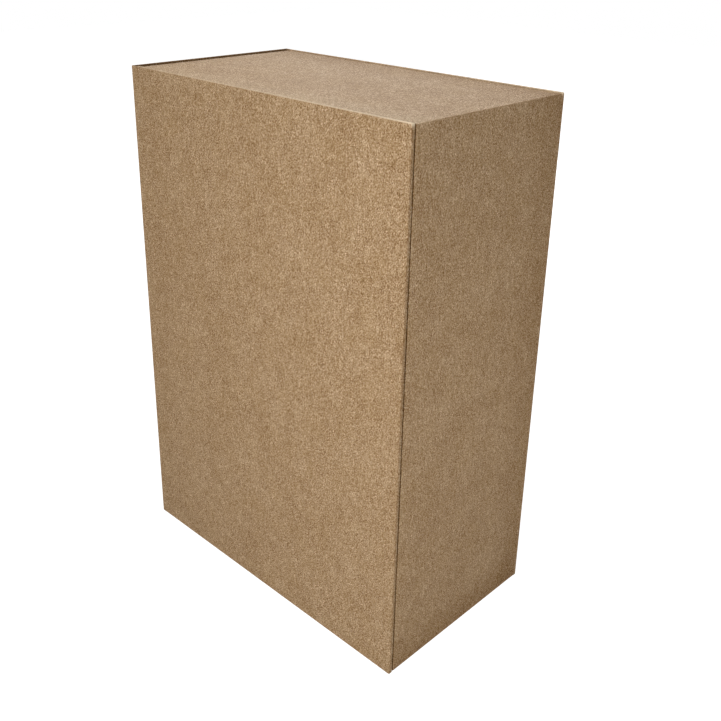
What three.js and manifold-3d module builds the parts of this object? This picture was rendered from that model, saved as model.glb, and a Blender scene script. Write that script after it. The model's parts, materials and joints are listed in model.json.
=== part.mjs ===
// Rigid gift box of book style, standing on one short end with its lid to the front.
// A kraft wrapped cover of three boards folds round a wrapped tray, and the lid opens like a book.
// Lengths are in millimetres. +X runs to the right across the lid, +Y to the back and +Z up.
// The origin is the middle of the closed box's footprint.

import * as THREE from 'three';
import { mergeVertices } from 'three/addons/utils/BufferGeometryUtils.js';
import Module from 'manifold-3d';

const wasm = await Module();
wasm.setup();

// The closed box, outside
const box_width = 231;
const box_depth = 129;
const box_height = 330;

// Stock: greyboard, thin board for the spine, kraft papers, gummed tape and the film of glue that
// parts each layer
const board = 2;
const thin_board = 1;
const wrap_paper = 0.15;
const liner_paper = 0.15;
const stay_tape = 0.15;
const glue_film = 0.05;

// How the tray sits in the cover
const lid_gap = 0.8;
const spine_gap = 3.9;
const end_overhang = 0.5;

// Cover: folds are paper only, and the boards stop short of the outer corners there
const hinge_fold = 5;
const spine_play = 0.3;
const corner_radius = 2;
const turn_in = 15;
const liner_margin = 3;
const lining_flange = 12;

// Tray corners and the bar magnets that hold the lid
const stay_leg = 12;
const magnet_length = 12;
const magnet_width = 3;
const magnet_thickness = 1.9;
const magnet_height_shares = [0.27, 0.73];
const magnet_places = ['lower', 'upper'];

// A cut runs this far past the faces that it opens
const overrun = 1;
const arc_segments = 6;

// Layers of a cover panel, from its outer face inwards
const skin = wrap_paper + glue_film;
const panel_thickness = board + 2 * skin;
const lining_outer = panel_thickness + glue_film;
const lined_thickness = lining_outer + liner_paper;
const spine_thickness = thin_board + 2 * skin;
const spine_lining_outer = spine_thickness + glue_film;
const spine_lined = spine_lining_outer + liner_paper;

// A fold is wrap and lining glued together, and stops this far from the outer corner
const fold_thickness = skin + liner_paper;
const fold_stop = fold_thickness + glue_film;
const spine_setback = lined_thickness + spine_play;

// Faces of the closed box
const left = -box_width / 2;
const right = box_width / 2;
const front = -box_depth / 2;
const back = box_depth / 2;

// Outer faces of the tray
const tray_left = left + spine_lined + spine_gap;
const tray_right = right;
const tray_bottom = end_overhang;
const tray_top = box_height - end_overhang;
const tray_rim = front + panel_thickness + lid_gap;
const tray_back = back - panel_thickness - glue_film;

// Layers of a tray wall, from its outer face inwards
const wall_skin = skin + stay_tape + glue_film;
const wall_inside = wall_skin + board;
const turn_in_outside = wall_inside + glue_film;
const turn_in_inside = turn_in_outside + wrap_paper;
const liner_outside = turn_in_inside + glue_film;
const liner_inside = liner_outside + liner_paper;

// The walls stand on the floor board
const wall_front = tray_rim + skin;
const floor_back = tray_back - skin;
const floor_front = floor_back - board;
const wall_back = floor_front - glue_film;
const floor_liner_back = floor_front - glue_film;
const floor_liner_front = floor_liner_back - liner_paper;

// Materials
const kraft = new THREE.MeshStandardMaterial({ color: 0xab8c66, roughness: 0.85, metalness: 0 });
const kraft_liner = new THREE.MeshStandardMaterial({ color: 0xb0936e, roughness: 0.88, metalness: 0 });
const greyboard = new THREE.MeshStandardMaterial({ color: 0x8d877c, roughness: 0.95, metalness: 0 });
const gummed_tape = new THREE.MeshStandardMaterial({ color: 0xa98555, roughness: 0.7, metalness: 0 });
const nickel = new THREE.MeshStandardMaterial({ color: 0xb9b8b4, roughness: 0.3, metalness: 1 });

// A rectangular block between two corners
function block(x_low, x_high, y_low, y_high, z_low, z_high) {
  const shape = new THREE.BoxGeometry(x_high - x_low, y_high - y_low, z_high - z_low);
  shape.translate((x_low + x_high) / 2, (y_low + y_high) / 2, (z_low + z_high) / 2);
  return shape;
}

// An upright sheet whose two corners at x_high are rounded
function rounded_sheet(x_low, x_high, y_low, y_high, z_low, z_high, radius) {
  const outline = new THREE.Shape();
  outline.moveTo(x_low, z_low);
  outline.lineTo(x_high - radius, z_low);
  outline.absarc(x_high - radius, z_low + radius, radius, -Math.PI / 2, 0, false);
  outline.absarc(x_high - radius, z_high - radius, radius, 0, Math.PI / 2, false);
  outline.lineTo(x_low, z_high);
  outline.closePath();
  const settings = { depth: y_high - y_low, bevelEnabled: false, curveSegments: arc_segments };
  const sheet = new THREE.ExtrudeGeometry(outline, settings);
  sheet.rotateX(Math.PI / 2);
  sheet.translate(0, y_high, 0);
  return sheet;
}

// A sheet bent along a line of [x, y] points and standing from z_low to z_high
function bent_sheet(line_of_points, z_low, z_high) {
  const outline = new THREE.Shape(line_of_points.map(([x, y]) => new THREE.Vector2(x, y)));
  const sheet = new THREE.ExtrudeGeometry(outline, { depth: z_high - z_low, bevelEnabled: false });
  sheet.translate(0, 0, z_low);
  return sheet;
}

// Closed mesh to solid, for cuts
function solid(geometry) {
  const bare = geometry.clone();
  bare.deleteAttribute('normal');
  bare.deleteAttribute('uv');
  const merged = mergeVertices(bare);
  const mesh = new wasm.Mesh({
    numProp: 3,
    vertProperties: new Float32Array(merged.attributes.position.array),
    triVerts: new Uint32Array(merged.index.array),
  });
  return new wasm.Manifold(mesh);
}

// Solid back to a geometry
function geometry_of(manifold) {
  const mesh = manifold.getMesh();
  const geometry = new THREE.BufferGeometry();
  geometry.setAttribute('position', new THREE.BufferAttribute(new Float32Array(mesh.vertProperties), 3));
  geometry.setIndex(new THREE.BufferAttribute(new Uint32Array(mesh.triVerts), 1));
  geometry.computeVertexNormals();
  return geometry;
}

// What is left of a body after a list of cuts
function cut(body, cuts) {
  const result = cuts.reduce((rest, tool) => rest.subtract(solid(tool)), solid(body));
  return geometry_of(result);
}

function piece(name, geometry, material) {
  const mesh = new THREE.Mesh(geometry, material);
  mesh.name = name;
  return mesh;
}

// Cover panels. Each is built lying against its own outer face: x runs across the panel from a fold
// at the outer corner, y runs inwards through its layers and z runs up.

// The lid and the back have a fold at x = 0 and a free edge at the far side
const free_board_end = box_width - skin;
const board_radius = corner_radius - skin;

// The greyboard of the lid or the back
function free_panel_board() {
  return rounded_sheet(hinge_fold, free_board_end, skin, skin + board, skin, box_height - skin, board_radius);
}

// Kraft wrap: outer sheet, three edges, turn-ins on the inside and one ply across the fold
function free_panel_wrap() {
  const body = rounded_sheet(fold_stop, box_width, 0, panel_thickness, 0, box_height, corner_radius);
  const board_space = rounded_sheet(
    hinge_fold - glue_film, box_width - wrap_paper,
    wrap_paper, panel_thickness - wrap_paper,
    wrap_paper, box_height - wrap_paper,
    corner_radius - wrap_paper,
  );
  const fold_relief = block(
    -overrun, hinge_fold,
    wrap_paper, panel_thickness + overrun,
    -overrun, box_height + overrun,
  );
  const window = block(
    hinge_fold - overrun, box_width - turn_in,
    panel_thickness - skin, panel_thickness + overrun,
    turn_in, box_height - turn_in,
  );
  return cut(body, [board_space, fold_relief, window]);
}

// Lining of a fold: it lies on the wrap, climbs the board's edge and is glued to the board's inner face
function fold_lining(inner_face, z_low, z_high) {
  const fold_face = skin;
  const step = hinge_fold - glue_film;
  return bent_sheet([
    [fold_stop, fold_face],
    [step, fold_face],
    [step, inner_face],
    [hinge_fold + lining_flange, inner_face],
    [hinge_fold + lining_flange, inner_face + liner_paper],
    [step - liner_paper, inner_face + liner_paper],
    [step - liner_paper, fold_face + liner_paper],
    [fold_stop, fold_face + liner_paper],
  ], z_low, z_high);
}

// A bar magnet and the notch that holds it in the free edge of a board. The board's edge is at x = 0
// and its middle plane at y = 0, and the magnet lies along z.
function edge_magnet(z_middle) {
  return block(
    -magnet_width, 0,
    -magnet_thickness / 2, magnet_thickness / 2,
    z_middle - magnet_length / 2, z_middle + magnet_length / 2,
  );
}

function edge_notch(z_middle) {
  const half_length = magnet_length / 2 + glue_film;
  return block(
    -magnet_width - glue_film, overrun,
    -board, board,
    z_middle - half_length, z_middle + half_length,
  );
}

// The lid, at the front
function lid() {
  const group = new THREE.Group();
  const magnet_heights = magnet_height_shares.map((share) => share * box_height);
  const notches = magnet_heights.map((z) => edge_notch(z).translate(free_board_end, skin + board / 2, 0));
  group.add(piece('lid_board', cut(free_panel_board(), notches), greyboard));
  group.add(piece('lid_wrap', free_panel_wrap(), kraft));
  const lining = fold_lining(lining_outer, liner_margin, box_height - liner_margin);
  group.add(piece('lid_hinge_lining', lining, kraft_liner));
  const liner = block(
    hinge_fold + lining_flange + glue_film, box_width - liner_margin,
    lining_outer, lined_thickness,
    liner_margin, box_height - liner_margin,
  );
  group.add(piece('lid_liner', liner, kraft_liner));
  magnet_heights.forEach((z, i) => {
    const magnet = piece(`lid_magnet_${magnet_places[i]}`, edge_magnet(z), nickel);
    magnet.position.set(free_board_end, skin + board / 2, 0);
    group.add(magnet);
  });
  group.position.set(left, front, 0);
  return group;
}

// The back, built like the lid and turned over so that its layers run forwards
function back_panel() {
  const group = new THREE.Group();
  group.add(piece('back_board', free_panel_board(), greyboard));
  group.add(piece('back_wrap', free_panel_wrap(), kraft));
  const lining_start = turn_in + glue_film;
  const lining = fold_lining(panel_thickness - wrap_paper, lining_start, box_height - lining_start);
  group.add(piece('back_hinge_lining', lining, kraft_liner));
  group.rotation.x = Math.PI;
  group.position.set(left, back, box_height);
  return group;
}

// The spine, at the left, has a fold at each side
function spine() {
  const group = new THREE.Group();
  const board_low = spine_setback;
  const board_high = box_depth - spine_setback;
  const spine_board = block(board_low, board_high, skin, skin + thin_board, skin, box_height - skin);
  group.add(piece('spine_board', spine_board, greyboard));

  const body = block(fold_stop, box_depth - fold_stop, 0, spine_thickness, 0, box_height);
  const board_space = block(
    -overrun, box_depth + overrun,
    wrap_paper, spine_thickness - wrap_paper,
    wrap_paper, box_height - wrap_paper,
  );
  const window = block(
    -overrun, box_depth + overrun,
    spine_thickness - skin, spine_thickness + overrun,
    turn_in, box_height - turn_in,
  );
  const folds = [[-overrun, board_low], [board_high, box_depth + overrun]];
  const fold_reliefs = folds.map(([x_low, x_high]) => block(
    x_low, x_high,
    wrap_paper, spine_thickness + overrun,
    -overrun, box_height + overrun,
  ));
  group.add(piece('spine_wrap', cut(body, [board_space, window, ...fold_reliefs]), kraft));

  const step = board_low - glue_film;
  const half = [
    [fold_stop, skin],
    [step, skin],
    [step, spine_lining_outer],
  ];
  const other_face = [
    [step - liner_paper, spine_lined],
    [step - liner_paper, fold_thickness],
    [fold_stop, fold_thickness],
  ];
  const mirrored = (points) => points.map(([x, y]) => [box_depth - x, y]).reverse();
  const liner_line = [...half, ...mirrored(half), ...mirrored(other_face), ...other_face];
  const liner = bent_sheet(liner_line, liner_margin, box_height - liner_margin);
  group.add(piece('spine_liner', liner, kraft_liner));

  group.rotation.z = -Math.PI / 2;
  group.position.set(left, back, 0);
  return group;
}

// A block inside the tray's four outer faces, set in by the same amount from each
function tray_block(inset, y_low, y_high) {
  return block(
    tray_left + inset, tray_right - inset,
    y_low, y_high,
    tray_bottom + inset, tray_top - inset,
  );
}

// Four walls of greyboard on a floor board. The end walls stand between the side walls.
function tray_boards() {
  const group = new THREE.Group();
  group.add(piece('tray_floor_board', tray_block(wall_skin, floor_front, floor_back), greyboard));

  const side_low = tray_bottom + wall_skin;
  const side_high = tray_top - wall_skin;
  const side_wall = (x_low, x_high) => block(x_low, x_high, wall_front, wall_back, side_low, side_high);
  const left_wall = side_wall(tray_left + wall_skin, tray_left + wall_inside);
  const right_wall = side_wall(tray_right - wall_inside, tray_right - wall_skin);
  const notches = magnet_height_shares.map((share) => in_tray_rim(edge_notch(share * box_height)));
  group.add(piece('tray_left_wall_board', left_wall, greyboard));
  group.add(piece('tray_right_wall_board', cut(right_wall, notches), greyboard));

  const end_low = tray_left + wall_inside + glue_film;
  const end_high = tray_right - wall_inside - glue_film;
  const end_wall = (z_low, z_high) => block(end_low, end_high, wall_front, wall_back, z_low, z_high);
  const bottom_wall = end_wall(tray_bottom + wall_skin, tray_bottom + wall_inside);
  const top_wall = end_wall(tray_top - wall_inside, tray_top - wall_skin);
  group.add(piece('tray_bottom_wall_board', bottom_wall, greyboard));
  group.add(piece('tray_top_wall_board', top_wall, greyboard));
  return group;
}

// Puts a magnet or its notch into the rim edge of the tray's right wall
function in_tray_rim(geometry) {
  geometry.rotateZ(-Math.PI / 2);
  geometry.translate(tray_right - wall_skin - board / 2, wall_front, 0);
  return geometry;
}

// Gummed tape round each outer corner of the walls, under the wrap
function corner_stays() {
  const group = new THREE.Group();
  const sides = { left: tray_left, right: tray_right };
  const ends = { bottom: tray_bottom, top: tray_top };
  const tape_inside = skin + stay_tape;
  for (const [side, x_face] of Object.entries(sides)) {
    for (const [end, z_face] of Object.entries(ends)) {
      const inwards_x = side === 'left' ? 1 : -1;
      const inwards_z = end === 'bottom' ? 1 : -1;
      const corner_line = [
        [skin, skin],
        [skin + stay_leg, skin],
        [skin + stay_leg, tape_inside],
        [tape_inside, tape_inside],
        [tape_inside, skin + stay_leg],
        [skin, skin + stay_leg],
      ];
      const turned_line = corner_line.map(([x, z]) => [x_face + inwards_x * x, -z_face - inwards_z * z]);
      const stay = bent_sheet(turned_line, wall_front, floor_back);
      stay.rotateX(-Math.PI / 2);
      group.add(piece(`corner_stay_${end}_${side}`, stay, gummed_tape));
    }
  }
  return group;
}

// Kraft wrap of the tray: four outer faces, the rim, turn-ins inside the walls and under the floor
function tray_wrap() {
  const hollow = solid(tray_block(wrap_paper, tray_rim + wrap_paper, tray_back - wrap_paper));
  const rim_fold = solid(tray_block(turn_in_outside, tray_rim, tray_rim + turn_in));
  const mouth = solid(tray_block(turn_in_inside, tray_rim - overrun, tray_rim + turn_in + overrun));
  const under_window = solid(tray_block(turn_in, tray_back - skin, tray_back + overrun));
  const wrap = solid(tray_block(0, tray_rim, tray_back))
    .subtract(hollow.subtract(rim_fold))
    .subtract(mouth)
    .subtract(under_window);
  return piece('tray_wrap', geometry_of(wrap), kraft);
}

// Kraft paper that lines the tray's walls and floor
function tray_liners() {
  const group = new THREE.Group();
  const floor_liner = tray_block(turn_in_outside, floor_liner_front, floor_liner_back);
  group.add(piece('tray_floor_liner', floor_liner, kraft_liner));
  const liner_low = tray_rim + liner_margin;
  const liner_high = floor_liner_front - glue_film;
  const wall_liner = cut(
    tray_block(liner_outside, liner_low, liner_high),
    [tray_block(liner_inside, liner_low - overrun, liner_high + overrun)],
  );
  group.add(piece('tray_wall_liner', wall_liner, kraft_liner));
  return group;
}

function tray() {
  const group = new THREE.Group();
  group.add(tray_boards(), corner_stays(), tray_wrap(), tray_liners());
  magnet_height_shares.forEach((share, i) => {
    const magnet = in_tray_rim(edge_magnet(share * box_height));
    group.add(piece(`tray_magnet_${magnet_places[i]}`, magnet, nickel));
  });
  return group;
}

const gift_box = new THREE.Group();
gift_box.add(tray(), back_panel(), spine(), lid());

export default gift_box;
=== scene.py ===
# Looks of a rigid gift box of book style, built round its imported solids.
# Lengths are in metres, in the frame of the solids: +X right across the lid, +Y to the back, +Z up.

import json
import math

import bmesh
import bpy
from mathutils import Matrix, Vector, noise


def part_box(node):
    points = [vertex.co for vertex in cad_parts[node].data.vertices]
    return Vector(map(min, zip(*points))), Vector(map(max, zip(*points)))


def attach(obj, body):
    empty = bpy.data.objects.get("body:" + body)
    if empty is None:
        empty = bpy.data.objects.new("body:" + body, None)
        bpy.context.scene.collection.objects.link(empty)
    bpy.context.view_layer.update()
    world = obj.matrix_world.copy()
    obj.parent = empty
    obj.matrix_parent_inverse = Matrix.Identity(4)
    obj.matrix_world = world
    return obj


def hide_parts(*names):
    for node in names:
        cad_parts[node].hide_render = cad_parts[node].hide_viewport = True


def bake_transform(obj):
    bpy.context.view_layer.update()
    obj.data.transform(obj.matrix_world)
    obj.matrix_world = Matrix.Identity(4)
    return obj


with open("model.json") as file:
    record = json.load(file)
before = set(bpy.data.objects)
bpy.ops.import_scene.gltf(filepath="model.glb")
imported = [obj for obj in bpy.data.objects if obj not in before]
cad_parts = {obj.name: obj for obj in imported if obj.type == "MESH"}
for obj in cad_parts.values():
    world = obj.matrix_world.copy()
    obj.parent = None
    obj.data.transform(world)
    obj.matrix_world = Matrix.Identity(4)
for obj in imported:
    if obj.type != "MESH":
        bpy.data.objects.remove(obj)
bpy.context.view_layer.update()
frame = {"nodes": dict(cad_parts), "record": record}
mm = 0.001

# Papers and how they go round a board
paper = 0.15 * mm
glue_film = 0.05 * mm
turn_in = 15 * mm
liner_margin = 3 * mm
cover_edge_radius = 0.22 * mm
cover_corner_radius = 0.9 * mm
tray_edge_radius = 0.25 * mm
tray_corner_radius = 0.65 * mm
arc_steps = 5

# Meshes: how far apart the rows of a large face lie, the narrow rows along its edges, how near to
# each other points are joined, and the angle from which an edge stays sharp
row_spacing = 9 * mm
edge_rows = [0.9 * mm, 3 * mm]
join_distance = 0.002 * mm
sharp_angle = math.radians(50)

# Corners of the solids, and what follows from them
lid_low, lid_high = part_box("lid_wrap")
spine_low, spine_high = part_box("spine_wrap")
_, back_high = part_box("back_wrap")
tray_low, tray_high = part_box("tray_wrap")
lid_board_low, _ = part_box("lid_board")
spine_board_low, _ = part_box("spine_board")
left = spine_low.x
right = lid_high.x
front = lid_low.y
back = back_high.y
height = lid_high.z
panel_thickness = lid_high.y - lid_low.y
spine_thickness = spine_high.x - spine_low.x
fold_reach = lid_low.x - left
fold_thickness = 2 * paper + glue_film
lid_fold_width = lid_board_low.x - left
spine_fold_width = spine_board_low.y - front

# From a tray wall's outer face over its rim to the inner face of the turn-in
tray_rim_width = 2.6 * mm


# Camera


def place_camera():
    """The camera solved from the box's corners in the photograph."""
    focal_pixels = 919.1
    image_pixels = 721
    principal_point = (355.7, 290.8)
    rightwards = Vector((0.71635364, 0.69749991, 0.01820277))
    downwards = Vector((0.27441967, -0.2576597, -0.92644769))
    forwards = Vector((-0.64150706, 0.66865937, -0.37598316))
    height_shares = Vector((1.53125633, -0.97345148, 1.26536136))
    data = bpy.data.cameras.new("photo_camera")
    data.sensor_width = 36
    data.lens = data.sensor_width * focal_pixels / image_pixels
    data.shift_x = (image_pixels / 2 - principal_point[0]) / image_pixels
    data.shift_y = (principal_point[1] - image_pixels / 2) / image_pixels
    data.clip_start = 10 * mm
    camera = bpy.data.objects.new("photo_camera", data)
    bpy.context.scene.collection.objects.link(camera)
    turn = Matrix((rightwards, -downwards, -forwards)).transposed().to_4x4()
    corner = Vector((left, front, 0))
    camera.matrix_world = Matrix.Translation(corner + height_shares * height) @ turn
    bpy.context.scene.camera = camera


place_camera()


# Materials


def linear(level):
    """A colour level from 0 to 255, as light."""
    share = min(max(level, 0), 255) / 255
    return share / 12.92 if share <= 0.04045 else ((share + 0.055) / 1.055) ** 2.4


def colour(red, green, blue):
    return (linear(red), linear(green), linear(blue), 1)


class Socket:
    """A node's output, on which sums in Python add Math nodes."""

    def __init__(self, tree, link):
        self.tree = tree
        self.link = link

    def math(self, operation, first, second):
        return self.tree.node("ShaderNodeMath", {"operation": operation}, [first, second])

    def __add__(self, other):
        return self.math("ADD", self, other)

    def __radd__(self, other):
        return self.math("ADD", other, self)

    def __sub__(self, other):
        return self.math("SUBTRACT", self, other)

    def __rsub__(self, other):
        return self.math("SUBTRACT", other, self)

    def __mul__(self, other):
        return self.math("MULTIPLY", self, other)

    def __rmul__(self, other):
        return self.math("MULTIPLY", other, self)

    def at_most(self, limit):
        return self.math("MINIMUM", self, limit)

    def between(self, low, high):
        """0 below low, 1 above high and smooth between them."""
        settings = {"interpolation_type": "SMOOTHSTEP"}
        sockets = {"Value": self, "From Min": low, "From Max": high}
        return self.tree.node("ShaderNodeMapRange", settings, sockets)


class Tree:
    """The nodes of a material or of the world."""

    def __init__(self, owner):
        owner.use_nodes = True
        self.nodes = owner.node_tree.nodes
        self.links = owner.node_tree.links
        self.nodes.clear()

    def node(self, kind, settings=None, sockets=None, output=0):
        """Adds a node, with its settings first and then the values or links of its sockets."""
        made = self.nodes.new(kind)
        for name, value in (settings or {}).items():
            if name == "stops":
                set_stops(made.color_ramp, value)
            else:
                setattr(made, name, value)
        named = enumerate(sockets) if isinstance(sockets, list) else (sockets or {}).items()
        for name, value in named:
            if isinstance(value, Socket):
                self.links.new(value.link, made.inputs[name])
            else:
                made.inputs[name].default_value = value
        return Socket(self, made.outputs[output]) if made.outputs else None

    def seen_directly(self):
        """1 for rays from the camera and for what gloss and glass show."""
        rays = ("Is Camera Ray", "Is Glossy Ray", "Is Transmission Ray")
        camera, gloss, glass = (self.node("ShaderNodeLightPath", output=ray) for ray in rays)
        return camera + gloss + glass


class Finish(Tree):
    """A material made of nodes."""

    def __init__(self, name):
        self.material = bpy.data.materials.new(name)
        super().__init__(self.material)

    def place(self):
        """Where a point lies on the piece, in metres."""
        return self.node("ShaderNodeTexCoord", output="Object")

    def noise(self, place, scale, detail=2.0, roughness=0.5):
        """Soft noise about zero."""
        sockets = {"Vector": place, "Scale": scale, "Detail": detail, "Roughness": roughness}
        return self.node("ShaderNodeTexNoise", None, sockets, "Fac") - 0.5

    def grain(self, place, turn, scales, detail, roughness=0.5):
        """Noise that runs one way: its space is turned, and then scaled along its three axes."""
        turned = self.node("ShaderNodeMapping", None, {"Vector": place, "Rotation": turn})
        stretched = self.node("ShaderNodeMapping", None, {"Vector": turned, "Scale": scales})
        return self.noise(stretched, 1, detail, roughness)

    def ramp(self, share, stops):
        """The colour at a share of the way along (place, colour) stops."""
        return self.node("ShaderNodeValToRGB", {"stops": stops}, {"Fac": share})

    def mixed(self, share, first, second):
        """A colour between two colours."""
        settings = {"data_type": "RGBA"}
        return self.node("ShaderNodeMix", settings, {0: share, 6: first, 7: second}, 2)

    def relief(self, height, strength, depth):
        """Bumps of a depth in metres."""
        sockets = {"Strength": strength, "Distance": depth, "Height": height}
        return self.node("ShaderNodeBump", None, sockets)

    def upwards(self):
        """1 where a face looks up, 0 where it stands upright and -1 where it looks down."""
        normal = self.node("ShaderNodeNewGeometry", output="Normal")
        return self.node("ShaderNodeSeparateXYZ", None, {"Vector": normal}, "Z")

    def attribute(self, name):
        return self.node("ShaderNodeAttribute", {"attribute_name": name}, None, "Fac")

    def surface(self, **sockets):
        """Ends the material in one Principled shader."""
        named = {name.replace("_", " "): value for name, value in sockets.items()}
        shader = self.node("ShaderNodeBsdfPrincipled", None, named)
        self.node("ShaderNodeOutputMaterial", None, {"Surface": shader})


def set_stops(ramp, stops):
    """Fills a colour ramp with (place, colour) pairs."""
    while len(ramp.elements) < len(stops):
        ramp.elements.new(1)
    for element, (place, value) in zip(ramp.elements, stops):
        element.position = place
        element.color = value


# Tone of a paper or board: 0 for its darkest fibres and 1 for its palest
middle_tone = 0.5

# Kraft fibres by kind: their contrast, how their noise is turned, its cells in a metre, its detail
# and its roughness
kraft_fibres = {
    "pulp": (1.65, (0, 0, 0.6), (3900, 3900, 1450), 3, 0.7),
    "upright": (1.65, (0, 0, 0.9), (4400, 4400, 1000), 2, 0.5),
    "leaning": (0.7, (0.5, 0.6, 0.3), (750, 2600, 2600), 1, 0.5),
    "streaks": (0.4, (0, 0, 0.3), (2400, 2400, 170), 1, 0.5),
}

# How far clouds, flecks and darkening (painted shade, and a slight darkening of the cover's edges) shift
# the tone of kraft
cloud_shift = 0.15
pale_fleck_shift = 0.12
dark_fleck_shift = 0.4
darkening_shift = 0.35

# Between which levels of their noise the flecks begin, and the yellowed patches with their share
pale_fleck_levels = (0.17, 0.24)
dark_fleck_levels = (0.2, 0.25)
yellow_levels = (-0.15, 0.25)
yellow_share = 0.1

# Where kraft is rubbed or carries a painted highlight: how much of its pale colour shows, and how that
# varies with the upright fibres
paling_share = 0.9
paling_contrast = 1.2

# Roughness of kraft, which is less on its pale fibres and more where it is darkened
kraft_roughness = 0.72
pale_fibre_gloss = 0.2
darkening_roughness = 0.3

# Colours of kraft, in levels from 0 to 255, and how far its fibres reach to either side of its base
wrap_base = (167, 135, 96)
liner_base = (178, 147, 107)
fibre_reaches = (82, 90, 99)
# Pale colour of rubbed kraft, which also paints highlights on the top edges of the lid and back and on the
# tray's upper end
rubbed_and_highlight_kraft = (244, 222, 188)
yellow_kraft = (170, 136, 80)
wrap_gloss = 0.25
liner_gloss = 0.05


def kraft_colours(base):
    """Stops from dark to pale fibres, between which red, green and blue change by nearly the same."""
    sides = [-1, -0.5, 0, 0.5, 1]
    levels = [[level + side * reach for level, reach in zip(base, fibre_reaches)] for side in sides]
    return [((side + 1) / 2, colour(*level)) for side, level in zip(sides, levels)]


def kraft(name, base, gloss):
    """Uncoated kraft paper: short fibres that cross, pale and dark flecks and soft clouds.

    It is pale where its attribute of wear and painted light is above zero, rubbed or painted as a
    highlight, and darker where it is below zero, painted shade or a slight darkening of the cover's edges."""
    finish = Finish(name)
    place = finish.place()
    fibres = {kind: finish.grain(place, *form) for kind, (_, *form) in kraft_fibres.items()}
    upwards = finish.upwards()
    lying = finish.noise(place, scale=1100, detail=2, roughness=0.6) * upwards * upwards
    grain = sum(fibres[kind] * contrast for kind, (contrast, *_) in kraft_fibres.items()) + lying
    clouds = finish.noise(place, scale=90) + 0.6 * finish.noise(place, scale=22, detail=1)
    fleck = finish.noise(place, scale=1200, detail=1)
    pale_fleck = fleck.between(*pale_fleck_levels)
    dark_fleck = (0 - fleck).between(*dark_fleck_levels)
    # Below zero the attribute darkens the kraft: painted shade in the groove by the spine, in the seam by
    # the lid, at the tray's foot and back and along cut edges, and a slight darkening of the lid's and
    # back's edges. Above zero it brings the pale colour of rubbing, which also paints highlights.
    wear = finish.attribute("wear")
    darkened = wear.at_most(0)
    flecks = pale_fleck * pale_fleck_shift - dark_fleck * dark_fleck_shift
    tone = grain + clouds * cloud_shift + flecks + darkened * darkening_shift + middle_tone
    yellowed = finish.noise(place, scale=60).between(*yellow_levels) * yellow_share
    tinted = finish.mixed(yellowed, finish.ramp(tone, kraft_colours(base)), colour(*yellow_kraft))
    # The pale colour of rubbing, which also paints the highlight along the top edges and the tray's upper
    # end
    paling = wear * (paling_share + fibres["upright"] * paling_contrast)
    finish.surface(
        Base_Color=finish.mixed(paling, tinted, colour(*rubbed_and_highlight_kraft)),
        Roughness=kraft_roughness - grain * pale_fibre_gloss - darkened * darkening_roughness,
        Specular_IOR_Level=gloss,
        Normal=finish.relief(grain, strength=0.05, depth=0.05 * mm),
    )
    return finish.material


def greyboard():
    """Recycled greyboard: short grey fibres with dark and pale specks."""
    pulp_contrast = 1.2
    speck_levels = (0.2, 0.26)
    speck_shift = 0.3
    finish = Finish("greyboard_pulp")
    place = finish.place()
    pulp = finish.noise(place, scale=900, detail=4, roughness=0.7)
    speck = finish.noise(place, scale=1600, detail=1)
    specks = speck.between(*speck_levels) - (0 - speck).between(*speck_levels)
    tone = pulp * pulp_contrast + specks * speck_shift + middle_tone
    stops = [(0.2, colour(104, 98, 90)), (0.5, colour(141, 135, 124)), (0.8, colour(172, 166, 154))]
    relief = finish.relief(pulp, strength=0.6, depth=0.08 * mm)
    finish.surface(Base_Color=finish.ramp(tone, stops), Roughness=0.92, Normal=relief)
    return finish.material


def gummed_tape():
    """Gummed paper tape: smoother than the kraft round it, with fine ribs along it."""
    rib_contrast = 0.7
    cloud_contrast = 0.4
    tape_roughness = 0.55
    rib_roughness = 0.3
    finish = Finish("gummed_tape_paper")
    place = finish.place()
    ribs = finish.grain(place, turn=(0, 0, 0), scales=(1500, 60, 1500), detail=2)
    clouds = finish.noise(place, scale=60)
    tone = ribs * rib_contrast + clouds * cloud_contrast + middle_tone
    stops = [(0, colour(140, 106, 62)), (1, colour(190, 154, 104))]
    finish.surface(Base_Color=finish.ramp(tone, stops), Roughness=tape_roughness + ribs * rib_roughness)
    return finish.material


def nickel():
    """Nickel plate on a bar magnet, with fine tumbling marks."""
    plate_roughness = 0.28
    mark_roughness = 0.2
    finish = Finish("nickel_plate")
    place = finish.place()
    marks = finish.noise(place, scale=2200, detail=3, roughness=0.6)
    finish.surface(
        Base_Color=finish.mixed(marks + middle_tone, colour(180, 178, 172), colour(204, 203, 199)),
        Metallic=1.0,
        Roughness=plate_roughness + marks * mark_roughness,
        Normal=finish.relief(marks, strength=0.2, depth=0.02 * mm),
    )
    return finish.material


finishes = {
    "kraft_wrap": kraft("kraft_wrap_paper", wrap_base, wrap_gloss),
    "kraft_liner": kraft("kraft_liner_paper", liner_base, liner_gloss),
    "greyboard": greyboard(),
    "gummed_tape": gummed_tape(),
    "magnet": nickel(),
}


def finish_solids():
    """Gives each solid the finish of its slot."""
    for subpart in frame["record"]["subparts"]:
        node = frame["nodes"][subpart["node"]]
        node.data.materials.clear()
        node.data.materials.append(finishes[subpart["material_slot"]])


finish_solids()


# Sheets of paper


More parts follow.
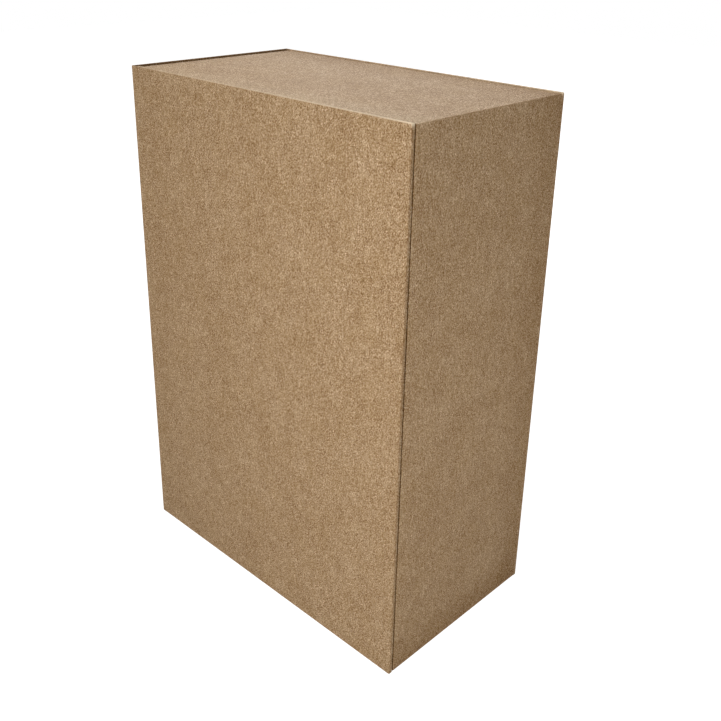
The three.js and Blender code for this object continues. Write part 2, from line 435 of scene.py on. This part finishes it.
class Sheet:
    """A surface of points and quads that is given the paper's thickness when it is done."""

    def __init__(self):
        self.points = []
        self.wear = []
        self.quads = []

    def add(self, point, wear=0.0):
        self.points.append(point)
        self.wear.append(wear)
        return len(self.points) - 1

    def strip(self, first, second, closed=False):
        """Quads between two rows of the same number of points."""
        count = len(first) if closed else len(first) - 1
        for i in range(count):
            after = (i + 1) % len(first)
            self.quads.append((first[i], second[i], second[after], first[after]))

    def strips(self, rows, closed=False):
        """Quads between each row of points and the next."""
        for first, second in zip(rows, rows[1:]):
            self.strip(first, second, closed)

    def build(self, name, thickness, turned=False):
        """The sheet as a closed body, its thickness laid behind the side that its faces look to."""
        mesh = bpy.data.meshes.new(name)
        quads = [tuple(reversed(quad)) for quad in self.quads] if turned else self.quads
        mesh.from_pydata(self.points, [], quads)
        # Wear and painted light of each point: pale rubbing and painted highlights above zero, painted
        # shade and darkening below
        mesh.attributes.new("wear", "FLOAT", "POINT").data.foreach_set("value", self.wear)
        body = bmesh.new()
        body.from_mesh(mesh)
        bmesh.ops.remove_doubles(body, verts=body.verts, dist=join_distance)
        body.to_mesh(mesh)
        body.free()
        piece = bpy.data.objects.new(name, mesh)
        bpy.context.scene.collection.objects.link(piece)
        if thickness:
            thicken(piece, thickness)
        soften(piece)
        return piece


def thicken(piece, thickness):
    """Gives an open sheet its thickness and keeps the result as its mesh."""
    layer = piece.modifiers.new("paper", "SOLIDIFY")
    layer.thickness = thickness
    layer.offset = -1
    evaluated = piece.evaluated_get(bpy.context.evaluated_depsgraph_get())
    solid_mesh = bpy.data.meshes.new_from_object(evaluated)
    piece.modifiers.clear()
    piece.data = solid_mesh


def soften(piece):
    """Smooth shading, but for the edges that are cut."""
    body = bmesh.new()
    body.from_mesh(piece.data)
    for face in body.faces:
        face.smooth = True
    for edge in body.edges:
        edge.smooth = edge.calc_face_angle(0) < sharp_angle
    body.to_mesh(piece.data)
    body.free()


def face_outwards(piece):
    """Turns the faces of a closed body out."""
    body = bmesh.new()
    body.from_mesh(piece.data)
    bmesh.ops.recalc_face_normals(body, faces=body.faces)
    body.to_mesh(piece.data)
    body.free()


def dress(piece, slot):
    """Gives a piece the finish of a material slot."""
    piece.data.materials.clear()
    piece.data.materials.append(finishes[slot])
    return piece


def spaced(start, end, spacing):
    """Places from start to end, both included, no further apart than the spacing."""
    count = max(1, math.ceil((end - start) / spacing))
    return [start + (end - start) * i / count for i in range(count + 1)]


def edged(start, end, spacing):
    """Spaced places with the narrow rows of an edge at both ends."""
    middle = spaced(start + edge_rows[-1], end - edge_rows[-1], spacing)
    return [start, start + edge_rows[0]] + middle + [end - edge_rows[0], end]


def held(share):
    """A share kept between 0 and 1."""
    return min(max(share, 0), 1)


def smooth(share):
    """0 up to a share of 0, 1 from a share of 1 on, and soft between them."""
    kept = held(share)
    return kept * kept * (3 - 2 * kept)


def near(distance, reach):
    """1 at a distance of zero, fading softly to 0 at the reach."""
    return smooth(1 - distance / reach)


def face_fade(value, length, reach):
    """0 at either end of a length and 1 further in than the reach."""
    return smooth(min(value, length - value) / reach)


# Angles of a quarter turn, after its start
quarter = [math.pi / 2 * (i + 1) / arc_steps for i in range(arc_steps)]

# Waves of glued paper in a metre, across and up: long ones, and short ones with a share of their depth
long_waves = (14, 11)
short_waves = (34, 30)
short_wave_share = 0.5
wave_swing = 0.33

# A seed of its own for the waves of each sheet
wave_seeds = {"lid": 1, "back": 4, "spine": 7, "lid_lining": 11, "floor_lining": 15}


def ripple(u, v, seed, depth):
    """How far a sheet sinks in at a place: soft waves that stay within about the depth."""
    long_wave = noise.noise(Vector((u * long_waves[0], v * long_waves[1], seed)))
    short_wave = noise.noise(Vector((u * short_waves[0], v * short_waves[1], seed)))
    return depth * (0.5 + wave_swing * (long_wave + short_wave_share * short_wave))


# Cover

# Waves of its faces, and how far from its edges they fade
cover_wave_depth = 0.12 * mm
cover_wave_fade = 14 * mm

# Rows over a fold, as shares of its width, and how far to either side of the board's edge a row lies
lid_fold_shares = (0.4, 0.8)
spine_fold_shares = (0.8,)
board_edge_step = 0.2 * mm

# The width over which the paper climbs from a fold to the board
fold_climb = 0.35 * mm

# Wear and painted light of its edges, which is above zero where they are rubbed pale or carry a painted
# highlight and below zero where they are darkened. The lid's and back's edges are darkened slightly all
# round. The spine's two ends carry painted shade, the shade of the groove between spine and tray, and are
# never rubbed. On an edge's inner bend all of it is weaker.
panel_edge_darkening = 0.14
spine_end_painted_shade = -0.65
inner_bend_share = 0.8

# Rubbing and a painted highlight along the top of the lid and the back: its reach down, its strength
# everywhere, what it gains towards the free edge and what it gains at the corner itself, which a high
# power keeps short
top_rub_and_highlight_reach = 2.5 * mm
top_rub_and_highlight = 0.27
top_rub_and_highlight_outwards = 0.5
top_rub_and_highlight_corner = 0.4
corner_power = 30


def wrapped_section(thickness, radius, turn):
    """Paper round a board's edge as (inset, depth, share of wear and painted light), from the outer face
    to the turn-in's end.
    """
    bend = min(radius, thickness / 2)
    outer = [(bend * (1 - math.sin(a)), bend * (1 - math.cos(a)), 1) for a in quarter]
    side = [(0, thickness - bend, 1)]
    inner = [
        (bend * (1 - math.cos(a)), thickness - bend * (1 - math.sin(a)), inner_bend_share)
        for a in quarter
    ]
    inside = [(min(turn, liner_margin), thickness, 0), (turn, thickness, 0)]
    return outer + side + inner + inside


def section_at(past_fold, full_thickness):
    """The wrapped section at a distance past a fold: thin over the fold, thick over the board."""
    share = held(past_fold / fold_climb + 0.5)
    thickness = fold_thickness + share * (full_thickness - fold_thickness)
    turn = turn_in if share == 1 else liner_margin - glue_film
    return wrapped_section(thickness, cover_edge_radius, turn)


def panel_edge_wear_and_light(u, v, width):
    """Wear and painted light of a lid's or back's edge: darkened slightly, but rubbed and given a painted
    highlight along the top, most at its free corner.
    """
    across = held(u / width)
    gained = top_rub_and_highlight_outwards * across * across + top_rub_and_highlight_corner * across ** corner_power
    return near(height - v, top_rub_and_highlight_reach) * (top_rub_and_highlight + gained) - panel_edge_darkening


class Panel:
    """A panel of the cover, seen from outside: u runs across it from a fold, v up and d inwards."""

    def __init__(self, corner, across, inwards):
        self.corner = Vector(corner)
        self.across = Vector(across)
        self.inwards = Vector(inwards)
        self.up = Vector((0, 0, 1))
        self.turned = self.across.cross(self.up).dot(self.inwards) > 0

    def point(self, u, v, d):
        return self.corner + self.across * u + self.up * v + self.inwards * d


lid_panel = Panel((left, front, 0), (1, 0, 0), (0, 1, 0))
back_panel = Panel((left, back, 0), (1, 0, 0), (0, -1, 0))
spine_panel = Panel((left, front, 0), (0, 1, 0), (1, 0, 0))


def cover_sink(u, v, width, seed):
    """Waves of a cover panel, gone at its edges."""
    fade = face_fade(u, width, cover_wave_fade) * face_fade(v, height, cover_wave_fade)
    return fade * ripple(u, v, seed, cover_wave_depth)


def rows_over_fold(fold_width, shares):
    """Rows across a fold, from the outer corner to just before the board."""
    return [fold_reach] + [share * fold_width for share in shares] + [fold_width - board_edge_step]


def free_edge(columns, shares, width):
    """The free edge of a lid or back, from the fold round both corners and back to the fold.

    Each point is a function that gives (u, v) for an inset."""
    radius = cover_corner_radius
    first = columns[0]

    def along(u):
        share = (u - first) / (columns[-1] - first)
        return lambda inset: (first + share * (width - max(radius, inset) - first), inset)

    def round_corner(angle):
        def point(inset):
            centre = max(radius, inset)
            reach = max(radius - inset, 0)
            return (width - centre + reach * math.sin(angle), centre - reach * math.cos(angle))
        return point

    def up_side(share):
        def point(inset):
            centre = max(radius, inset)
            return (width - inset, centre + share * (height - 2 * centre))
        return point

    def mirrored(point):
        def upper(inset):
            u, v = point(inset)
            return (u, height - v)
        return upper

    lower = [along(u) for u in columns] + [round_corner(angle) for angle in quarter]
    side = [up_side(share) for share in shares[1:-1]]
    return lower, side, [mirrored(point) for point in reversed(lower)]


def wrap_round(sheet, panel, edge, ring, sections, edge_wear_and_light):
    """Carries the sheet on from a row of points, round the edge and in behind it."""
    for step in range(len(sections[0])):
        following = []
        for point, section in zip(edge, sections):
            inset, depth, wear = section[step]
            u, v = point(inset)
            following.append(sheet.add(panel.point(u, v, depth), wear * edge_wear_and_light(u, v)))
        sheet.strip(ring, following)
        ring = following


def free_panel(name, panel, width, seed):
    """Kraft wrap of the lid or the back: outer face, three turned edges and a single ply at the fold."""
    over_fold = rows_over_fold(lid_fold_width, lid_fold_shares)
    board_start = lid_fold_width + board_edge_step
    columns = over_fold + spaced(board_start, width - cover_corner_radius, row_spacing)
    shares = [row / height for row in edged(0, height, row_spacing)]
    lower, side, upper = free_edge(columns, shares, width)
    sheet = Sheet()
    grid = []
    for point, mirror in zip(lower, reversed(upper)):
        u, v_low = point(cover_edge_radius)
        v_high = mirror(cover_edge_radius)[1]
        heights = [v_low + share * (v_high - v_low) for share in shares]
        grid.append([sheet.add(panel.point(u, v, cover_sink(u, v, width, seed))) for v in heights])
    sheet.strips(grid)
    edge = lower + side + upper
    ring = [column[0] for column in grid] + grid[-1][1:-1] + [column[-1] for column in reversed(grid)]
    sections = [section_at(point(0)[0] - lid_fold_width, panel_thickness) for point in edge]
    # Rubbing and a painted highlight along the top edge, a slight darkening on the other edges
    wrap_round(sheet, panel, edge, ring, sections, lambda u, v: panel_edge_wear_and_light(u, v, width))
    return sheet.build(name, paper, panel.turned)


def spine_wrap():
    """Kraft wrap of the spine, with a fold at each side and turned edges at its two ends."""
    width = back - front
    fold_rows = rows_over_fold(spine_fold_width, spine_fold_shares)
    board_start = spine_fold_width + board_edge_step
    columns = fold_rows + spaced(board_start, width - board_start, row_spacing)
    columns += [width - u for u in reversed(fold_rows)]
    heights = edged(cover_edge_radius, height - cover_edge_radius, row_spacing)
    seed = wave_seeds["spine"]
    sheet = Sheet()
    grid = []
    for u in columns:
        grid.append([sheet.add(spine_panel.point(u, v, cover_sink(u, v, width, seed))) for v in heights])
    sheet.strips(grid)
    past_folds = [min(u, width - u) - spine_fold_width for u in columns]
    sections = [section_at(past_fold, spine_thickness) for past_fold in past_folds]
    lower = [lambda inset, u=u: (u, inset) for u in columns]
    upper = [lambda inset, u=u: (u, height - inset) for u in reversed(columns)]
    bottom_row = [column[0] for column in grid]
    top_row = [column[-1] for column in reversed(grid)]
    for edge, row, forms in ((lower, bottom_row, sections), (upper, top_row, sections[::-1])):
        # Painted shade on both turned ends of the spine, the shade of the groove between spine and tray
        wrap_round(sheet, spine_panel, edge, row, forms, lambda u, v: spine_end_painted_shade)
    return sheet.build("spine_cover_paper", paper, spine_panel.turned)


def fold(name, corner_y, inwards):
    """Paper round an outer corner of the cover: wrap and lining glued together, bent to a small arc."""
    inner_bend = fold_reach - fold_thickness
    outer = [(fold_reach, 0)]
    inner = [(fold_reach, fold_thickness)]
    for angle in quarter:
        sine, cosine = math.sin(angle), math.cos(angle)
        outer.append((fold_reach * (1 - sine), fold_reach * (1 - cosine)))
        inner.append((fold_reach - inner_bend * sine, fold_reach - inner_bend * cosine))
    outline = outer + list(reversed(inner))
    sheet = Sheet()
    rings = []
    for v in edged(0, height, row_spacing):
        rings.append([sheet.add(Vector((left + a, corner_y + inwards * b, v))) for a, b in outline])
    sheet.strips(rings, closed=True)
    half = len(outline) // 2
    for ring in (rings[0], rings[-1]):
        sheet.strip(ring[:half], ring[half:][::-1])
    piece = sheet.build(name, 0)
    face_outwards(piece)
    return piece


def dress_cover():
    """The cover's papers and its two folds."""
    width = right - left
    for body, panel in (("lid", lid_panel), ("back", back_panel)):
        piece = dress(free_panel(f"{body}_cover_paper", panel, width, wave_seeds[body]), "kraft_wrap")
        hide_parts(f"{body}_wrap")
        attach(piece, "lid" if body == "lid" else "tray")
    spine = dress(spine_wrap(), "kraft_wrap")
    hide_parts("spine_wrap")
    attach(spine, "spine")
    folds = (("lid_fold_paper", "lid", front, 1), ("back_fold_paper", "tray", back, -1))
    for name, body, corner_y, inwards in folds:
        piece = dress(fold(name, corner_y, inwards), "kraft_wrap")
        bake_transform(piece)


# Tray

# The rim of its right wall stands back from true in soft waves: how far and with what swing, over which
# depth and along which width it fades, and each wave's strength, radians in a metre and start
rim_setback = 0.09 * mm
rim_swing = 0.04 * mm
rim_fade_depth = 40 * mm
rim_fade_width = 3 * mm
rim_waves = ((1, 62, 0.6), (0.6, 131, 2.1))

# Painted light on its outer walls: a painted highlight on the upper end next to the lid, more so towards
# the right, and painted shade next to the back and the foot
upper_painted_highlight = 0.05
upper_highlight_rightwards = 0.13
upper_highlight_reach = 26 * mm
upper_edge_fade = 1 * mm
back_painted_shade = 0.16
back_shade_reach = 32 * mm
foot_painted_shade = 0.3
foot_shade_reach = 30 * mm

# Wear of the bend at its back, and painted shade on the bend at the outside of its rim, in the seam under
# the lid's edge
heel_wear = 0.05
brow_painted_shade = -0.8


def tray_loop(inset):
    """Points round the tray's outline at an inset, from the bottom left corner towards the right."""
    centre = max(tray_corner_radius, inset)
    radius = max(tray_corner_radius - inset, 0)
    to_face = centre - inset
    to_arc = to_face - radius
    low_x, high_x = tray_low.x + centre, tray_high.x - centre
    low_z, high_z = tray_low.z + centre, tray_high.z - centre
    across = [row / (right - left) for row in edged(0, right - left, row_spacing)][1:-1]
    upwards = [row / height for row in edged(0, height, row_spacing)][1:-1]
    bottom_side = [(low_x + share * (high_x - low_x), low_z - to_face) for share in across]
    right_side = [(high_x + to_face, low_z + share * (high_z - low_z)) for share in upwards]
    top_side = [(high_x - share * (high_x - low_x), high_z + to_face) for share in across]
    left_side = [(low_x - to_face, high_z - share * (high_z - low_z)) for share in upwards]
    points = []
    for side, x, z, start in (
        (bottom_side, high_x + to_arc, low_z - to_arc, -90),
        (right_side, high_x + to_arc, high_z + to_arc, 0),
        (top_side, low_x - to_arc, high_z + to_arc, 90),
        (left_side, low_x - to_arc, low_z - to_arc, 180),
    ):
        points += side
        for step in range(arc_steps + 1):
            angle = math.radians(start + 90 * step / arc_steps)
            points.append((x + radius * math.cos(angle), z + radius * math.sin(angle)))
    return points


def rim_wave(x, z):
    """How far the rim of the tray stands back from true, along its right wall."""
    on_right = held((x - tray_high.x) / rim_fade_width + 1)
    wave = sum(strength * math.sin(z * pace + start) for strength, pace, start in rim_waves)
    return on_right * (rim_setback + rim_swing * wave)


def outer_painted_light(x, y, z):
    """Painted light on the tray's outer walls: painted shade towards the foot and the back, a painted
    highlight along the upper end.
    """
    on_top = held((z - tray_high.z) / upper_edge_fade + 1)
    across = (x - tray_low.x) / (tray_high.x - tray_low.x)
    paling = on_top * near(y - tray_low.y, upper_highlight_reach) * (upper_painted_highlight + upper_highlight_rightwards * across)
    shaded_back = back_painted_shade * near(tray_high.y - y, back_shade_reach)
    shaded_foot = foot_painted_shade * near(z - tray_low.z, foot_shade_reach)
    return paling - shaded_back - shaded_foot


def tray_path():
    """(inset, y, wear and painted light) from the turn-in under the floor, up the outer wall, over the rim
    and inside.
    """
    bend = tray_edge_radius
    turns = [0] + quarter
    under = [(turn_in, tray_high.y, 0), (liner_margin, tray_high.y, 0)]
    heel = [(bend * (1 - math.sin(a)), tray_high.y - bend * (1 - math.cos(a)), heel_wear) for a in turns]
    wall_rows = edged(tray_low.y + bend, tray_high.y - bend, row_spacing)[1:-1]
    wall = [(0, y, 0) for y in reversed(wall_rows)]
    brow = [
        (bend * (1 - math.cos(a)), tray_low.y + bend * (1 - math.sin(a)), brow_painted_shade * (1 - math.cos(a)))
        for a in turns
    ]
    lip = [
        (tray_rim_width - bend * (1 - math.sin(a)), tray_low.y + bend * (1 - math.cos(a)), 0)
        for a in turns
    ]
    inside = [(tray_rim_width, tray_low.y + depth, 0) for depth in (liner_margin, turn_in)]
    return under + heel + wall + brow + lip + inside


def tray_wrap():
    """Kraft wrap of the tray: under the floor, the four outer walls, the rim and the turn-in."""
    sheet = Sheet()
    rings = []
    for inset, y, wear in tray_path():
        near_rim = near(y - tray_low.y, rim_fade_depth)
        ring = []
        for x, z in tray_loop(inset):
            shift = rim_wave(x, z) * near_rim
            # Painted highlight on the upper end and painted shade at the foot and back, on the outer faces
            # only
            outer = outer_painted_light(x, y, z) if inset == 0 else 0
            ring.append(sheet.add(Vector((x, y + shift, z)), wear + outer))
        rings.append(ring)
    sheet.strips(rings[::-1], closed=True)
    return sheet.build("tray_cover_paper", paper)


def dress_tray():
    wrap = dress(tray_wrap(), "kraft_wrap")
    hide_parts("tray_wrap")
    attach(wrap, "tray")


# Linings

# How far a lining steps down where the turned edge of the wrap under it ends, over what width, and the
# rows across that width
lining_step = 0.15 * mm
step_width = 1.6 * mm
step_row_shares = (-0.5, -0.25, 0, 0.25, 0.5)

# The cut edge of a lining, drawn by a narrow row of painted shadow
cut_edge = 0.25 * mm
cut_edge_painted_shadow = -0.5

# Waves of the linings, and how far from the floor lining's edges they fade
lid_lining_depth = 0.04 * mm
floor_lining_depth = 0.16 * mm
floor_lining_fade = 20 * mm


def stepped(value, place):
    """0 below a place and 1 above it, smooth over the width of a step."""
    return smooth((value - place) / step_width + 0.5)


def lining_rows(length, steps):
    """Rows along a lining: narrow at its cut edges and across each step."""
    rows = [cut_edge, length - cut_edge] + edged(0, length, row_spacing)
    for place in steps:
        rows += [place + share * step_width for share in step_row_shares]
    return sorted(rows)


def flat_lining(name, panel, width, length, steps, sink):
    """A flat lining: a panel of paper whose sink at a place is given by a function."""
    columns = lining_rows(width, steps[0])
    rows = lining_rows(length, steps[1])
    sheet = Sheet()
    grid = []
    for u in columns:
        # A narrow row of painted shadow along each cut edge
        painted_edge_shadows = [cut_edge_painted_shadow if min(u, width - u, v, length - v) < cut_edge / 2 else 0 for v in rows]
        grid.append([sheet.add(panel.point(u, v, sink(u, v)), wear) for v, wear in zip(rows, painted_edge_shadows)])
    sheet.strips(grid)
    return sheet.build(name, paper, panel.turned)


def lid_lining():
    """Lining of the lid, which shows the ridge of the wrap's turned edges on three sides."""
    low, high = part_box("lid_liner")
    panel = Panel((low.x, high.y, low.z), (1, 0, 0), (0, -1, 0))
    width, length = high.x - low.x, high.z - low.z
    side = right - turn_in - low.x
    lower = turn_in - low.z
    upper = height - turn_in - low.z

    def sink(u, v):
        inside = (1 - stepped(u, side)) * stepped(v, lower) * (1 - stepped(v, upper))
        return inside * (lining_step + ripple(u, v, wave_seeds["lid_lining"], lid_lining_depth))

    return flat_lining("lid_lining_paper", panel, width, length, ([side], [lower, upper]), sink)


def floor_lining():
    """Lining of the tray's floor, slightly raised in soft waves."""
    low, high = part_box("tray_floor_liner")
    panel = Panel((low.x, low.y, low.z), (1, 0, 0), (0, 1, 0))
    width, length = high.x - low.x, high.z - low.z

    def sink(u, v):
        fade = face_fade(u, width, floor_lining_fade) * face_fade(v, length, floor_lining_fade)
        return -fade * ripple(u, v, wave_seeds["floor_lining"], floor_lining_depth)

    return flat_lining("tray_floor_lining_paper", panel, width, length, ([], []), sink)


def wall_lining():
    """Lining round the tray's walls, with the ridge of the turned rim under it."""
    low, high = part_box("tray_wall_liner")
    over_turn_in = low.x - tray_low.x + paper
    ridge = tray_low.y + turn_in - low.y
    sheet = Sheet()
    rings = []
    for depth in lining_rows(high.y - low.y, [ridge]):
        inset = over_turn_in - lining_step * stepped(depth, ridge)
        # Painted shadow along the lining's cut edge at the rim
        wear = cut_edge_painted_shadow if depth < cut_edge / 2 else 0
        rings.append([sheet.add(Vector((x, low.y + depth, z)), wear) for x, z in tray_loop(inset)])
    sheet.strips(rings[::-1], closed=True)
    return sheet.build("tray_wall_lining_paper", paper)


def dress_linings():
    for piece, node, body in (
        (lid_lining(), "lid_liner", "lid"),
        (floor_lining(), "tray_floor_liner", "tray"),
        (wall_lining(), "tray_wall_liner", "tray"),
    ):
        dress(piece, "kraft_liner")
        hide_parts(node)
        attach(piece, body)


dress_cover()
dress_tray()
dress_linings()


# Floor, light and background

# The floor's half side, how white it glows to the eye and how grey it is to the light
floor_reach = 3.0
floor_glow = 0.97
floor_grey = 0.3

# Tints of the lamps, and each softbox: where it stands, its side, its power and its tint
white = (1, 1, 1)
warm = (1, 0.93, 0.83)
lamps = {
    "front_light": ((0.27, -0.62, 0.3), 0.2, 2.63, white),
    "fill_light": ((-0.6, -1.1, 0.3), 0.5, 1.25, warm),
    "side_light": ((0.6, -0.06, 0.2), 0.12, 0.85, white),
    "top_light": ((-0.02, -0.12, 0.95), 0.3, 2.75, white),
    "back_light": ((-1.3, 1.5, 0.9), 1.0, 11.5, white),
    "rear_light": ((-0.75, 1.0, 0.12), 0.4, 6.0, white),
}
surround_light = 0.05


def grey(level):
    return (level, level, level, 1)


def floor():
    """A plain floor, white to the eye, that keeps the box's shadow."""
    sides = ((-1, -1), (1, -1), (1, 1), (-1, 1))
    corners = [(x * floor_reach, y * floor_reach, 0) for x, y in sides]
    mesh = bpy.data.meshes.new("floor")
    mesh.from_pydata(corners, [], [(0, 1, 2, 3)])
    piece = bpy.data.objects.new("floor", mesh)
    bpy.context.scene.collection.objects.link(piece)
    finish = Finish("floor_white")
    glow = finish.mixed(finish.seen_directly(), grey(0), grey(floor_glow))
    finish.surface(Base_Color=grey(floor_grey), Roughness=1.0, Emission_Color=glow, Emission_Strength=1.0)
    piece.data.materials.append(finish.material)


def world_light():
    """A white surround, seen at full strength and lighting the box more softly."""
    world = bpy.data.worlds.new("studio")
    bpy.context.scene.world = world
    tree = Tree(world)
    strength = tree.seen_directly() * (1 - surround_light) + surround_light
    background = tree.node("ShaderNodeBackground", None, {"Color": grey(1), "Strength": strength})
    tree.node("ShaderNodeOutputWorld", None, {"Surface": background})


def softbox(name, place, size, power, tint):
    """A square soft light that looks at the middle of the box."""
    data = bpy.data.lights.new(name, "AREA")
    data.shape = "SQUARE"
    data.size = size
    data.energy = power
    data.color = tint
    lamp = bpy.data.objects.new(name, data)
    bpy.context.scene.collection.objects.link(lamp)
    aim = Vector((0, 0, height / 2)) - Vector(place)
    lamp.location = place
    lamp.rotation_euler = aim.to_track_quat("-Z", "Y").to_euler()


def light_scene():
    for name, lamp in lamps.items():
        softbox(name, *lamp)
    world_light()
    floor()


light_scene()
bpy.context.scene.view_settings.view_transform = "Standard"
